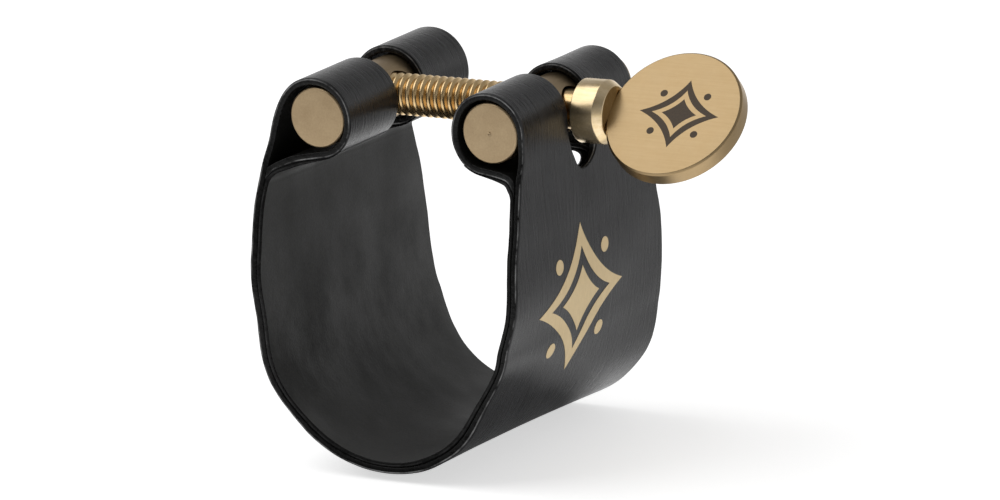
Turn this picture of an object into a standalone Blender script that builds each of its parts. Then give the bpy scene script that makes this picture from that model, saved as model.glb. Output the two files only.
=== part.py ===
"""Saxophone ligature: a doubled leather strap, two cross barrels and a thumbscrew.

Frame: the origin is the centre of the round seat that the mouthpiece lies in.
+X runs along the screw towards the thumb disc, +Y along the mouthpiece, +Z up to the screw.
The strap is one flexible piece. It is divided here at two flex lines into a cradle and two
arms, and so is its lining, so that the arms can close on the mouthpiece.
"""
import math

import bpy
import bmesh
from mathutils import Euler, Vector
from mathutils.geometry import interpolate_bezier

MM = 0.001

# Strap: one outer ply and one thin lining, glued back to back.
SEAT_OUTER_RADIUS = 14.1 * MM
PLY = 0.70 * MM
GLUE_LINE = 0.08 * MM
LINING = 0.40 * MM
BAND_WIDTH = 31.0 * MM
LOOP_WIDTH = 23.0 * MM
TAPER_TOP = 15.5 * MM
TAPER_FOOT = 3.0 * MM

# Barrels: brass cross pins in the loops at the strap's two ends.
BARREL_HEIGHT = 19.5 * MM
LEFT_BARREL_X = -8.3 * MM
RIGHT_BARREL_X = 10.9 * MM
BARREL_RADIUS = 3.0 * MM
BARREL_LENGTH = 22.8 * MM
BARREL_CHAMFER = 0.15 * MM

# Loops: the barrels sit a little to the right of the loops' own centres.
LOOP_RADIUS = 3.95 * MM
LOOP_OFFSET = -0.2 * MM
LOOP_SLOT = 5.6 * MM
SLOT_FOOT = 13.9 * MM
FLAP_SLOPE = 12.0
FLAP_FILLET = 1.1 * MM

# Walls: the widest point of each wall, and where each leaves the round seat.
LEFT_WIDEST = (-14.5 * MM, 7.5 * MM)
RIGHT_WIDEST = (14.95 * MM, 7.0 * MM)
LEFT_WALL_START = 82.0
RIGHT_WALL_START = 79.0
WALL_HANDLE = 0.36
LEFT_RISE_HANDLE = 11.0 * MM
LEFT_TOP_HANDLE = 4.2 * MM
RIGHT_HANDLE = 5.0 * MM

# Flex lines, in degrees round the seat from its lowest point. Their places make both
# barrels sink equally as the arms close, which keeps the screw level.
LEFT_FLEX = 50.0
RIGHT_FLEX = 71.25
FLEX_GAP = 0.30 * MM

# The lining ends part of the way up each loop, at these angles round the loop's centre.
LEFT_LINING_END = -50.0
RIGHT_LINING_END = 230.0

# Small clearances inside the folds.
FLAP_CLEARANCE = 0.05 * MM
HOLLOW_CLEARANCE = 0.10 * MM
CORNER_CLEARANCE = 0.35 * MM

# Thumbscrew.
SCREW_RADIUS = 2.08 * MM
BORE_RADIUS = 2.20 * MM
SCREW_TIP_X = -12.0 * MM
SCREW_END_X = 16.1 * MM
SCREW_TIP_CHAMFER = 0.5 * MM
COLLAR_X = 15.15 * MM
COLLAR_SHOULDER_X = 17.5 * MM
COLLAR_END_X = 18.3 * MM
COLLAR_RADIUS = 3.15 * MM
COLLAR_END_RADIUS = 2.6 * MM
COLLAR_BORE_DEPTH = 1.1 * MM
COLLAR_EDGE = 0.2 * MM
DISC_X = 25.0 * MM
DISC_RADIUS = 7.0 * MM
DISC_THICKNESS = 1.8 * MM
DISC_BEVEL = 0.15 * MM
DISC_LEAN = 46.0
FIT_GAP = 0.10 * MM

# Facets.
ARC_STEP = 6.0
WALL_POINTS = 12
TAPER_POINTS = 12
ROUND_SIDES = 48
SHARP_ANGLE = 30.0
FLAP_SEARCH_STEP = 0.02 * MM
SAME_POINT = 0.001 * MM
WELD_DISTANCE = 0.0005 * MM
CUTTER_REACH = 60.0 * MM

LEATHER = ("black_leather", (0.018, 0.018, 0.020, 1.0), 0.38, 0.0)
LINING_SKIN = ("grey_lining", (0.045, 0.045, 0.047, 1.0), 0.62, 0.0)
BARREL_BRASS = ("barrel_brass", (0.70, 0.58, 0.42, 1.0), 0.42, 1.0)
SCREW_BRASS = ("screw_brass", (0.78, 0.60, 0.34, 1.0), 0.25, 1.0)
DISC_BRASS = ("disc_brass", (0.80, 0.66, 0.44, 1.0), 0.36, 1.0)

IN_XZ = Euler((math.radians(90), 0, 0))
IN_YZ = Euler((math.radians(90), 0, math.radians(90)))
ALONG_X = Euler((0, math.radians(90), 0))
ALONG_Y = Euler((math.radians(-90), 0, 0))
DISC_TURN = Euler((math.radians(90.0 - DISC_LEAN), 0, 0))


def clear_scene():
    for item in list(bpy.data.objects):
        bpy.data.objects.remove(item, do_unlink=True)


def make_collection(name):
    collection = bpy.data.collections.new(name)
    bpy.context.scene.collection.children.link(collection)
    return collection


def make_material(name, colour, roughness, metallic):
    material = bpy.data.materials.new(name)
    material.use_nodes = True
    shader = material.node_tree.nodes["Principled BSDF"]
    shader.inputs["Base Color"].default_value = colour
    shader.inputs["Roughness"].default_value = roughness
    shader.inputs["Metallic"].default_value = metallic
    material.diffuse_color = colour
    return material


def place(item, collection, material=None):
    """Put a new object in its collection and give it its one material."""
    for owner in list(item.users_collection):
        owner.objects.unlink(item)
    collection.objects.link(item)
    if material is not None:
        item.data.materials.clear()
        item.data.materials.append(make_material(*material))


def hide_cutter(item):
    item.hide_render = True
    item.display_type = "WIRE"


def polar(centre, radius, degrees):
    angle = math.radians(degrees)
    return Vector((centre[0] + radius * math.cos(angle), centre[1] + radius * math.sin(angle)))


def arc(centre, radius, start, end):
    """Points on an arc, at whole facets, from one angle in degrees to another."""
    count = max(2, round(abs(end - start) / ARC_STEP))
    return [polar(centre, radius, start + (end - start) * i / count) for i in range(count + 1)]


def bezier(start, start_handle, end_handle, end):
    knots = [Vector(point).to_3d() for point in (start, start_handle, end_handle, end)]
    return [point.to_2d() for point in interpolate_bezier(*knots, WALL_POINTS)]


def join_runs(*runs):
    """One list of points from several runs that share their end points."""
    points = []
    for run in runs:
        if points and (points[-1] - run[0]).length < SAME_POINT:
            run = run[1:]
        points.extend(run)
    return points


def offset(points, distance):
    """The line parallel to an open line, moved to its right by a distance."""
    moved = []
    for i, point in enumerate(points):
        before = point - points[max(i - 1, 0)]
        after = points[min(i + 1, len(points) - 1)] - point
        normals = [Vector((d.y, -d.x)).normalized() for d in (before, after) if d.length > 0]
        mean = sum(normals, Vector((0, 0))).normalized()
        moved.append(point + mean * distance / mean.dot(normals[0]))
    return moved


def outline_solid(name, outlines, depth, turn, collection, material=None):
    """A flat outline, with any holes, filled and given a depth both ways from its plane."""
    curve = bpy.data.curves.new(name, "CURVE")
    curve.dimensions = "2D"
    curve.fill_mode = "BOTH"
    curve.extrude = depth / 2
    for outline in outlines:
        spline = curve.splines.new("POLY")
        spline.points.add(len(outline) - 1)
        for knot, point in zip(spline.points, outline):
            knot.co = (point[0], point[1], 0, 1)
        spline.use_cyclic_u = True
    guide = bpy.data.objects.new(name + "_outline", curve)
    guide.rotation_euler = turn
    bpy.context.scene.collection.objects.link(guide)
    bpy.context.view_layer.update()
    graph = bpy.context.evaluated_depsgraph_get()
    mesh = bpy.data.meshes.new_from_object(guide.evaluated_get(graph))
    solid = bpy.data.objects.new(name, mesh)
    solid.matrix_world = guide.matrix_world
    bpy.data.objects.remove(guide)
    bpy.data.curves.remove(curve)
    weld(mesh)
    place(solid, collection, material)
    return solid


def weld(mesh):
    shape = bmesh.new()
    shape.from_mesh(mesh)
    bmesh.ops.remove_doubles(shape, verts=shape.verts, dist=WELD_DISTANCE)
    bmesh.ops.recalc_face_normals(shape, faces=shape.faces)
    shape.to_mesh(mesh)
    shape.free()


def cylinder(name, radius, length, centre, turn, collection, material=None, bevel=0.0):
    bpy.ops.mesh.primitive_cylinder_add(
        vertices=ROUND_SIDES, radius=radius, depth=length, location=centre, rotation=turn)
    item = bpy.context.object
    item.name = name
    item.data.name = name
    place(item, collection, material)
    if bevel:
        edge = item.modifiers.new("Edge", "BEVEL")
        edge.width = bevel
        edge.segments = 1
        edge.limit_method = "ANGLE"
    return item


def turned(name, profile, collection, material):
    """A round piece on the screw's axis, from (distance along X, radius) points."""
    mesh = bpy.data.meshes.new(name)
    points = [(radius, 0, along) for along, radius in reversed(profile)]
    mesh.from_pydata(points, [(i, i + 1) for i in range(len(points) - 1)], [])
    item = bpy.data.objects.new(name, mesh)
    item.rotation_euler = ALONG_X
    item.location = (0, 0, BARREL_HEIGHT)
    place(item, collection, material)
    lathe = item.modifiers.new("Lathe", "SCREW")
    lathe.steps = ROUND_SIDES
    lathe.render_steps = ROUND_SIDES
    lathe.use_merge_vertices = True
    lathe.merge_threshold = SAME_POINT
    return item


def boolean(item, cutter, operation):
    change = item.modifiers.new(operation.title(), "BOOLEAN")
    change.operation = operation
    change.solver = "EXACT"
    change.object = cutter


def shade_round(item):
    item.data.shade_smooth()
    item.data.set_sharp_from_angle(angle=math.radians(SHARP_ANGLE))


# Strap outlines. The left side is worked out with side = -1 and the right with side = 1.

def seat_arc(radius, start, end):
    return arc((0, 0), radius, -90 + start, -90 + end)


def flex_margin(radius):
    """Half the gap at a flex line, in degrees round the seat."""
    return math.degrees(FLEX_GAP / 2 / radius)


def loop_centre(side):
    barrel_x = LEFT_BARREL_X if side < 0 else RIGHT_BARREL_X
    return Vector((barrel_x + LOOP_OFFSET, BARREL_HEIGHT))


def wall_line(side):
    """The strap's outer face from its flex line up to where it meets the loop's own circle."""
    flex, wall_start, widest = (
        (LEFT_FLEX, LEFT_WALL_START, LEFT_WIDEST) if side < 0
        else (RIGHT_FLEX, RIGHT_WALL_START, RIGHT_WIDEST))
    first = flex + flex_margin(SEAT_OUTER_RADIUS)
    seat = seat_arc(SEAT_OUTER_RADIUS, side * first, side * wall_start)
    foot = seat[-1]
    lean = math.radians(wall_start)
    rise = WALL_HANDLE * (widest[1] - foot.y)
    foot_handle = foot + rise * Vector((side * math.cos(lean), math.sin(lean)))
    lower = bezier(foot, foot_handle, (widest[0], widest[1] - rise), widest)
    centre = loop_centre(side)
    if side < 0:
        end = polar(centre, LOOP_RADIUS, 90)
        end_handle = end + Vector((-LEFT_TOP_HANDLE, 0))
        upper = bezier(widest, (widest[0], widest[1] + LEFT_RISE_HANDLE), end_handle, end)
    else:
        end = polar(centre, LOOP_RADIUS, 0)
        end_handle = end - Vector((0, RIGHT_HANDLE))
        upper = bezier(widest, (widest[0], widest[1] + RIGHT_HANDLE), end_handle, end)
    return join_runs(seat, lower, upper)


def loop_arc(side, radius):
    """The stretch round the barrel: clockwise on the left, the other way on the right."""
    start = 90 if side < 0 else 0
    end = -90 + FLAP_SLOPE if side < 0 else 270 - FLAP_SLOPE
    return arc(loop_centre(side), radius, start, end)


def loop_line(side):
    """The strap's outer face round the barrel, from the wall's end to the flap's start."""
    return loop_arc(side, LOOP_RADIUS)


def wall_at_height(line, height):
    """Where a line that climbs crosses a height."""
    for low, high in zip(line, line[1:]):
        if low.y <= height < high.y:
            return low.lerp(high, (height - low.y) / (high.y - low.y))
    return line[-1]


def flap_line(side):
    """The flap's underside and the fillet that turns it down on to the wall's inner face."""
    start = loop_line(side)[-1]
    slope = math.radians(FLAP_SLOPE)
    along = Vector((side * math.cos(slope), -math.sin(slope)))
    inner = offset(wall_line(side), side * -PLY)
    reach = 0.0
    while True:
        centre = start + along * reach + Vector((along.y, -along.x)) * side * FLAP_FILLET
        wall = wall_at_height(inner, centre.y)
        if side * (wall.x - centre.x) <= FLAP_FILLET:
            break
        reach += FLAP_SEARCH_STEP
    first = 90 - side * FLAP_SLOPE
    last = 0 if side > 0 else 180
    return [start] + arc(centre, FLAP_FILLET, first, last)


def inner_wall(side, foot_height):
    """The outer ply's inner face from a height near the flap down to the flex line."""
    inner = offset(wall_line(side), side * -PLY)
    below = [point for point in inner if point.y < foot_height - FLAP_CLEARANCE]
    return list(reversed(below))


def strap_arm_outline(side):
    """Outer boundary of one arm's ply: wall, loop, flap and back down the inner face."""
    flap = flap_line(side)
    return join_runs(wall_line(side), loop_line(side), flap, inner_wall(side, flap[-1].y))


def strap_arm_hollow(side):
    """The drop-shaped hollow inside one loop, beside the barrel."""
    wall = wall_line(side)
    flap = flap_line(side)
    floor = flap[1].y + PLY
    inner = offset(wall, side * -PLY)[:-1]
    wall_part = [point for point in inner if point.y > floor + HOLLOW_CLEARANCE]
    loop_part = loop_arc(side, LOOP_RADIUS - PLY)
    slope = math.radians(FLAP_SLOPE)
    corner = loop_part[-1]
    run = abs(wall_part[0].x - corner.x) - CORNER_CLEARANCE
    corner_end = corner + Vector((side * run, -run * math.tan(slope)))
    return join_runs(wall_part, loop_part, [corner_end])


def lining_arm_outline(side):
    """One arm's lining: up the wall's inner face and round under the flap to the loop."""
    flap = flap_line(side)
    wall = list(reversed(inner_wall(side, flap[-1].y)))
    under = list(reversed(flap))
    centre = loop_centre(side)
    if side < 0:
        tail = arc(centre, LOOP_RADIUS, -90 + FLAP_SLOPE, LEFT_LINING_END)
    else:
        tail = arc(centre, LOOP_RADIUS, 270 - FLAP_SLOPE, RIGHT_LINING_END)
    face = join_runs(wall, under, tail)
    near = offset(face, side * -GLUE_LINE)
    far = offset(face, side * -(GLUE_LINE + LINING))
    return near + list(reversed(far))


def seat_segment(outer, inner):
    """One ply between the flex lines, with a level strip at the bottom for the reed."""
    margin = flex_margin(SEAT_OUTER_RADIUS)
    strip = ARC_STEP / 2

    def face(radius):
        left = seat_arc(radius, -LEFT_FLEX + margin, -strip)
        return left + seat_arc(radius, strip, RIGHT_FLEX - margin)

    return face(outer) + list(reversed(face(inner)))


# Shared cutters.

def smooth_step(value):
    return value * value * (3 - 2 * value)


def width_guide(cutters):
    """A slab as wide as the strap at every height: narrow at the loops, full below them."""
    edge = [(BAND_WIDTH / 2, -CUTTER_REACH)]
    for i in range(TAPER_POINTS + 1):
        share = i / TAPER_POINTS
        height = TAPER_FOOT + (TAPER_TOP - TAPER_FOOT) * share
        half = BAND_WIDTH / 2 + (LOOP_WIDTH - BAND_WIDTH) / 2 * smooth_step(share)
        edge.append((half, height))
    edge.append((LOOP_WIDTH / 2, CUTTER_REACH))
    outline = edge + [(-half, height) for half, height in reversed(edge)]
    slab = outline_solid("width_guide", [outline], 2 * CUTTER_REACH, IN_YZ, cutters)
    hide_cutter(slab)
    return slab


def slot_cutter(cutters):
    """The slot over each loop, with a round foot below the screw."""
    radius = LOOP_SLOT / 2
    foot = arc((0, SLOT_FOOT + radius), radius, 180, 360)
    outline = foot + [Vector((radius, CUTTER_REACH)), Vector((-radius, CUTTER_REACH))]
    cutter = outline_solid("slot_cutter", [outline], 2 * CUTTER_REACH, IN_YZ, cutters)
    hide_cutter(cutter)
    return cutter


# Sub-parts.

def make_strap(parts, width, slot):
    for side, name in ((-1, "strap_left"), (1, "strap_right")):
        outlines = [strap_arm_outline(side), strap_arm_hollow(side)]
        arm = outline_solid(name, outlines, 2 * BAND_WIDTH, IN_XZ, parts, LEATHER)
        boolean(arm, width, "INTERSECT")
        boolean(arm, slot, "DIFFERENCE")
        shade_round(arm)
    outline = seat_segment(SEAT_OUTER_RADIUS, SEAT_OUTER_RADIUS - PLY)
    cradle = outline_solid("strap_cradle", [outline], BAND_WIDTH, IN_XZ, parts, LEATHER)
    shade_round(cradle)


def make_lining(parts, width, slot):
    for side, name in ((-1, "lining_left"), (1, "lining_right")):
        outlines = [lining_arm_outline(side)]
        arm = outline_solid(name, outlines, 2 * BAND_WIDTH, IN_XZ, parts, LINING_SKIN)
        boolean(arm, width, "INTERSECT")
        boolean(arm, slot, "DIFFERENCE")
        shade_round(arm)
    outer = SEAT_OUTER_RADIUS - PLY - GLUE_LINE
    outline = seat_segment(outer, outer - LINING)
    cradle = outline_solid("lining_cradle", [outline], BAND_WIDTH, IN_XZ, parts, LINING_SKIN)
    shade_round(cradle)


def make_barrel(name, barrel_x, parts, cutters):
    centre = (barrel_x, 0, BARREL_HEIGHT)
    barrel = cylinder(name, BARREL_RADIUS, BARREL_LENGTH, centre, ALONG_Y, parts,
                      BARREL_BRASS, BARREL_CHAMFER)
    bore = cylinder(name + "_bore", BORE_RADIUS, 4 * BARREL_RADIUS, centre, ALONG_X, cutters)
    hide_cutter(bore)
    boolean(barrel, bore, "DIFFERENCE")
    shade_round(barrel)


def make_screw(parts):
    profile = [
        (SCREW_TIP_X, 0),
        (SCREW_TIP_X, SCREW_RADIUS - SCREW_TIP_CHAMFER),
        (SCREW_TIP_X + SCREW_TIP_CHAMFER, SCREW_RADIUS),
        (SCREW_END_X, SCREW_RADIUS),
        (SCREW_END_X, 0),
    ]
    shade_round(turned("screw_shank", profile, parts, SCREW_BRASS))


def make_collar(parts, cutters):
    profile = [
        (COLLAR_X + COLLAR_BORE_DEPTH, 0),
        (COLLAR_X + COLLAR_BORE_DEPTH, BORE_RADIUS),
        (COLLAR_X, BORE_RADIUS),
        (COLLAR_X, COLLAR_RADIUS - COLLAR_EDGE),
        (COLLAR_X + COLLAR_EDGE, COLLAR_RADIUS),
        (COLLAR_SHOULDER_X, COLLAR_RADIUS),
        (COLLAR_END_X, COLLAR_END_RADIUS),
        (COLLAR_END_X, 0),
    ]
    collar = turned("screw_collar", profile, parts, SCREW_BRASS)
    slot_floor = DISC_X - DISC_RADIUS - FIT_GAP
    slot_length = 2 * COLLAR_RADIUS
    bpy.ops.mesh.primitive_cube_add(size=1)
    slot = bpy.context.object
    slot.name = "collar_slot"
    place(slot, cutters)
    slot.location = (slot_floor + slot_length / 2, 0, BARREL_HEIGHT)
    slot.rotation_euler = DISC_TURN
    slot.scale = (slot_length, 4 * COLLAR_RADIUS, DISC_THICKNESS + 2 * FIT_GAP)
    hide_cutter(slot)
    boolean(collar, slot, "DIFFERENCE")
    shade_round(collar)


def make_disc(parts):
    centre = (DISC_X, 0, BARREL_HEIGHT)
    disc = cylinder("thumb_disc", DISC_RADIUS, DISC_THICKNESS, centre, DISC_TURN, parts,
                    DISC_BRASS, DISC_BEVEL)
    shade_round(disc)


def main():
    clear_scene()
    parts = make_collection("saxophone_ligature")
    cutters = make_collection("cutters")
    width = width_guide(cutters)
    slot = slot_cutter(cutters)
    make_strap(parts, width, slot)
    make_lining(parts, width, slot)
    make_barrel("threaded_barrel", LEFT_BARREL_X, parts, cutters)
    make_barrel("plain_barrel", RIGHT_BARREL_X, parts, cutters)
    make_screw(parts)
    make_collar(parts, cutters)
    make_disc(parts)


main()
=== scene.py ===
"""Looks of the saxophone ligature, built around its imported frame.

+X runs along the screw to the thumb disc, +Y along the mouthpiece, +Z up to the screw.
The strap and its lining are each made as two halves, which meet under the mouthpiece, because
a piece can bend across one joint only. Lengths here are metres, written as multiples of MM.
"""
import math
from bisect import bisect_right

import bmesh
import bpy
from mathutils import Matrix, Vector, noise
from mathutils.geometry import interpolate_bezier


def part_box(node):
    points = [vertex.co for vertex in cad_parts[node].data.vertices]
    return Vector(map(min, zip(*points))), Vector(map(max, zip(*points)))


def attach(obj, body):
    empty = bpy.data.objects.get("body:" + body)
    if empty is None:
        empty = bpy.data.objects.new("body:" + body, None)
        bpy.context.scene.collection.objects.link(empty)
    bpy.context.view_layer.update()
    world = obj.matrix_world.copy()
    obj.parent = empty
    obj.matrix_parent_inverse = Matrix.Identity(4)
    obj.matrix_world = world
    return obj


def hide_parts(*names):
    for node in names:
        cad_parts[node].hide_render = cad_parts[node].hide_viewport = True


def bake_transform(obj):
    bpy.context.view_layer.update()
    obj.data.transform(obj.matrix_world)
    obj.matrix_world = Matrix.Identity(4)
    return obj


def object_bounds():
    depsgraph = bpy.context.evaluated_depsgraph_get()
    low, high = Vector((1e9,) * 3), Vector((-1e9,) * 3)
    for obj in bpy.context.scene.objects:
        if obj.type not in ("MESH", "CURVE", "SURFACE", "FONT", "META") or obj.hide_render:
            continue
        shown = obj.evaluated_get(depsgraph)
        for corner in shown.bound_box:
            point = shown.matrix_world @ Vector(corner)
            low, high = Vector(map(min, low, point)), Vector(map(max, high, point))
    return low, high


MM = 0.001

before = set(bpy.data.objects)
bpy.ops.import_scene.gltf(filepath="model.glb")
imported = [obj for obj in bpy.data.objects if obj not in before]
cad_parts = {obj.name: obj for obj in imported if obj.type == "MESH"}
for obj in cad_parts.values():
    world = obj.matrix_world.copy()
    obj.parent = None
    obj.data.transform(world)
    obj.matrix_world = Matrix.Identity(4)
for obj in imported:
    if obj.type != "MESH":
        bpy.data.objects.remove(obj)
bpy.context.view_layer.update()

# Camera: where it stands, what it looks at, and how much it is turned about its own axis.
CAMERA_AZIMUTH = 30.65
CAMERA_ELEVATION = 13.51
CAMERA_ROLL = 2.75
CAMERA_DISTANCE = 766.6 * MM
CAMERA_LENS = 284.5
SENSOR_WIDTH = 36.0
AIM_POINT = Vector((1.3, 0, 19.5)) * MM
AIM_RIGHT = 3.68 * MM
AIM_DOWN = 14.64 * MM

# Strap and lining: the shape that the CAD model gives them.
SEAT_OUTER_RADIUS = 14.1 * MM
PLY = 0.70 * MM
GLUE_LINE = 0.03 * MM
LINING = 0.42 * MM
BAND_HALF_WIDTH = 15.5 * MM
LOOP_HALF_WIDTH = 11.5 * MM
TAPER_TOP = 19.5 * MM
TAPER_FOOT = 2.0 * MM
LOOP_REACH = 2.0 * MM
LOOP_RADIUS = 3.95 * MM
LOOP_OFFSET = -0.2 * MM
SLOT_RADIUS = 2.8 * MM
SLOT_FOOT = 13.9 * MM
FLAP_SLOPE = 12.0
FLAP_FILLET = 2.0 * MM
LEFT_WIDEST = (-14.5 * MM, 7.5 * MM)
RIGHT_WIDEST = (14.95 * MM, 7.0 * MM)
LEFT_WALL_START = 82.0
RIGHT_WALL_START = 79.0
WALL_HANDLE = 0.36
LEFT_RISE_HANDLE = 11.0 * MM
LEFT_TOP_HANDLE = 4.2 * MM
RIGHT_HANDLE = 5.0 * MM
LEFT_LINING_END = -50.0
RIGHT_LINING_END = 230.0

# How the strap's surface is built and how its leather departs from the exact shape.
ROW_STEP = 0.25 * MM
FILLET_STEP = 0.10 * MM
SEARCH_STEP = 0.01 * MM
FIELD_COLUMNS = 12
EDGE_SUPPORT = 0.10 * MM
STRAP_EDGE = 0.16 * MM
LINING_EDGE = 0.09 * MM
EDGE_ANGLES = (30, 60, 90)
SLOT_FAN_ROWS = 18
LINING_END_TAPER = 6.0 * MM
LINING_END_KEPT = 0.02
FLAP_GAP = 0.02 * MM
FLAP_MARGIN = 0.05 * MM
WAVE = 0.05 * MM
WAVE_LENGTH = 6.0 * MM
RIPPLE = 0.035 * MM
RIPPLE_LENGTH = 1.3 * MM
RIPPLE_SEED = 1

# On the cut edges, in millimetres: how deep the outer skin's pale line lies and its half width;
# and how pale it is on the strap and on the lining. The line is in part a painted highlight.
SKIN = 0.16
SKIN_LINE = 0.085
STRAP_EDGE_PALE = 0.20
LINING_EDGE_PALE = 0.025

# The set the strap has taken in use: at a few heights, how far its front and rear rims stand
# off the exact shape along X, both in millimetres; and how far its lowest part hangs.
LEFT_FRONT_SET = ((22, 0), (18, -0.15), (15, -0.5), (12, -0.4), (6, 0), (0, 0.3), (-6, -0.1),
                  (-10, 0.25), (-14, 0))
LEFT_REAR_SET = ((22, 0.1), (13, 1.2), (10, 1.2), (4, 0.85), (-4, 0.8), (-11, -0.1), (-14, 0))
RIGHT_FRONT_SET = ((20, -0.2), (14, -0.15), (9, 0.1), (3, 0.55), (-1.5, 0), (-7, -1.0),
                   (-12, -0.4), (-14, 0))
RIGHT_REAR_SET = ((20, 0), (12, -0.3), (4, -0.5), (-3, -0.1), (-8, 0.5), (-11, 0.3), (-14, 0))
FRONT_SAG = 0.15 * MM
REAR_SAG = 0.90 * MM

# How the loops and their slots have shifted. Each zone is in millimetres: where a shift starts
# and how far on it is full, or, for those named NEAR, its middle and how far it reaches.
LEFT_LOOP_SLACK = Vector((0.09, 0, -0.12)) * MM
RIGHT_LOOP_SLACK = Vector((-0.20, 0, -0.28)) * MM
RIGHT_REAR_DROP = Vector((-0.17, 0, -0.17)) * MM
RIGHT_REAR_SKEW = 1.15 * MM
LEFT_SLOT_LEAN = 0.50 * MM
RIGHT_SLOT_LEAN = 0.85 * MM
FLAP_DIP = 0.55 * MM
OFF_MIDDLE_ZONE = (0.0, 6.0)
SAG_ZONE = (4.0, 8.0)
REAR_DROP_ZONE = (2.0, 6.0)
REAR_SKEW_ZONE = (-1.0, 4.0)
SLOT_HEIGHT_ZONE = (8.0, 6.0)
FLAP_WALL_ZONE = (9.5, 4.0)
NEAR_SLOT_SIDE = (-2.8, 3.0)
NEAR_FLAP_HEIGHT = (16.0, 5.0)

# Metal pieces.
ROUND_SIDES = 128
BORE_SIDES = 64
TURNED_SHARP = 35
DISC_SIDES = 192
THREAD_PITCH = 0.794 * MM
THREAD_DEPTH = 0.36 * MM
THREAD_SIDES = 72
THREAD_STEPS = 14
THREAD_START = 0.25 * MM
THREAD_END = 11.0 * MM
TIP_SLOPE = 0.8
TIP_ROOT = 0.55 * MM
TIP_RING = (0.12 * MM, 0.50 * MM)
TIP_FLAT = 0.75 * MM
SHANK_RADIUS = 1.95 * MM
BORE_RADIUS = 2.20 * MM
COUNTERSINK = 0.28 * MM
BORE_LEAD = 0.9 * MM
BARREL_CHAMFER = 0.16 * MM
DIMPLE_DEPTH = 0.10 * MM
DIMPLE_FLAT = 0.06 * MM
DIMPLE_RADIUS = 0.22 * MM
TURNED_EDGE = 0.05 * MM
COLLAR_X = 14.98 * MM
COLLAR_SHOULDER_X = 17.5 * MM
COLLAR_END_X = 18.3 * MM
COLLAR_RADIUS = 3.15 * MM
COLLAR_END_RADIUS = 2.6 * MM
COLLAR_BORE_DEPTH = 1.1 * MM
COLLAR_EDGE = 0.12 * MM
DISC_X = 25.0 * MM
DISC_RADIUS = 7.0 * MM
DISC_THICKNESS = 1.8 * MM
DISC_LEAN = 46.0
DISC_BEVEL = 0.19 * MM
DISC_EDGE = 0.04 * MM
DISC_RINGS = (2.0 * MM, 5.0 * MM)
FIT_GAP = 0.02 * MM

# Studio: how bright the sweep and the ceiling are, between which heights of the sky one turns
# into the other, the front's share of that, and where the front turns into the back.
SWEEP_LIGHT = 1.0
CEILING_LIGHT = 0.35
SWEEP_TO_CEILING = (0.05, 0.55)
FRONT_SHARE = 0.45
FRONT_TO_BACK = (-0.7, 0.1)
SOFTBOX_PLACE = (-0.26, -0.14, 0.45)
SOFTBOX_AIM = Vector((0, 0, 0.008))
SOFTBOX_SIZE = 0.55
SOFTBOX_POWER = 1.45

# The floor glows, as a table lit from below does. Reflections see a floor of their own, whose
# glow is painted light and shade: a painted shadow where the object shades it, painted brightest
# round that, and painted dimmer behind on the right. Each reach is in millimetres, from where a
# change starts to where it is full.
FLOOR_SIZE = 3.0
FLOOR_GAP = 0.02 * MM
MIRRORED_FLOOR_GAP = 0.10 * MM
FLOOR_GLOW = 0.58
SHADE_MIDDLE = (-5.0, -10.0, 0.0)
SHADE_REACH = (28.0, 34.5)
SHADE_DEPTH = 0.12
SHINE = 1.35
SHINE_REACH = (60.0, 100.0)
PAINTED_DIM_SIDE = 0.55
PAINTED_DIM_SIDE_REACH = (4.0, 11.5)
PAINTED_DIM_SIDE_START = (7.0, 13.0)

# The ornaments: on the strap's right wall and on the thumb disc.
WALL_MARK_HEIGHT = 1.2 * MM
WALL_MARK_ACROSS = -1.7 * MM
WALL_MARK_SIZE = 7.6 * MM
FOIL_LIFT = 0.025 * MM
FOIL_THICKNESS = 0.05 * MM
DISC_MARK_SIZE = 3.8 * MM
DISC_MARK_SHIFT = 0.6 * MM
ENGRAVING_LIFT = 0.008 * MM


# ---------------------------------------------------------------- node helpers

def new_material(name):
    """A material with only a Principled BSDF in it, and its node tree."""
    material = bpy.data.materials.new(name)
    material.use_nodes = True
    return material, material.node_tree


def add_node(tree, kind, values=None, **settings):
    """A new node with its settings, and its inputs' values by name or number."""
    made = tree.nodes.new(kind)
    for key, value in settings.items():
        setattr(made, key, value)
    for key, value in (values or {}).items():
        made.inputs[key].default_value = value
    return made


def shader_of(tree):
    return tree.nodes["Principled BSDF"]


def set_shader(tree, **values):
    for key, value in values.items():
        shader_of(tree).inputs[key.replace("_", " ")].default_value = value


def part_of(tree, place, axis):
    parts = add_node(tree, "ShaderNodeSeparateXYZ")
    tree.links.new(place, parts.inputs["Vector"])
    return parts.outputs[axis]


def mapped(tree, place, kind, values):
    """A place turned ("Rotation") or stretched ("Scale") by three values."""
    change = add_node(tree, "ShaderNodeMapping", {kind: values})
    tree.links.new(place, change.inputs["Vector"])
    return change.outputs["Vector"]


def strap_place(tree):
    """The place on the leather (across, along, deep), in millimetres."""
    return add_node(tree, "ShaderNodeAttribute", attribute_name="strip").outputs["Vector"]


def object_place(tree, scale, turn=(0, 0, 0)):
    """The place in the row frame at rest in millimetres, turned and stretched."""
    place = mapped(tree, add_node(tree, "ShaderNodeTexCoord").outputs["Object"], "Rotation", turn)
    return mapped(tree, place, "Scale", tuple(s / MM for s in scale))


def noise_field(tree, place, detail, roughness):
    field = add_node(tree, "ShaderNodeTexNoise",
                     {"Scale": 1.0, "Detail": detail, "Roughness": roughness})
    tree.links.new(place, field.inputs["Vector"])
    return field.outputs["Fac"]


def strap_noise(tree, scale, detail, roughness):
    return noise_field(tree, mapped(tree, strap_place(tree), "Scale", scale), detail, roughness)


def object_noise(tree, scale, detail, roughness, turn=(0, 0, 0)):
    return noise_field(tree, object_place(tree, scale, turn), detail, roughness)


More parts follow.
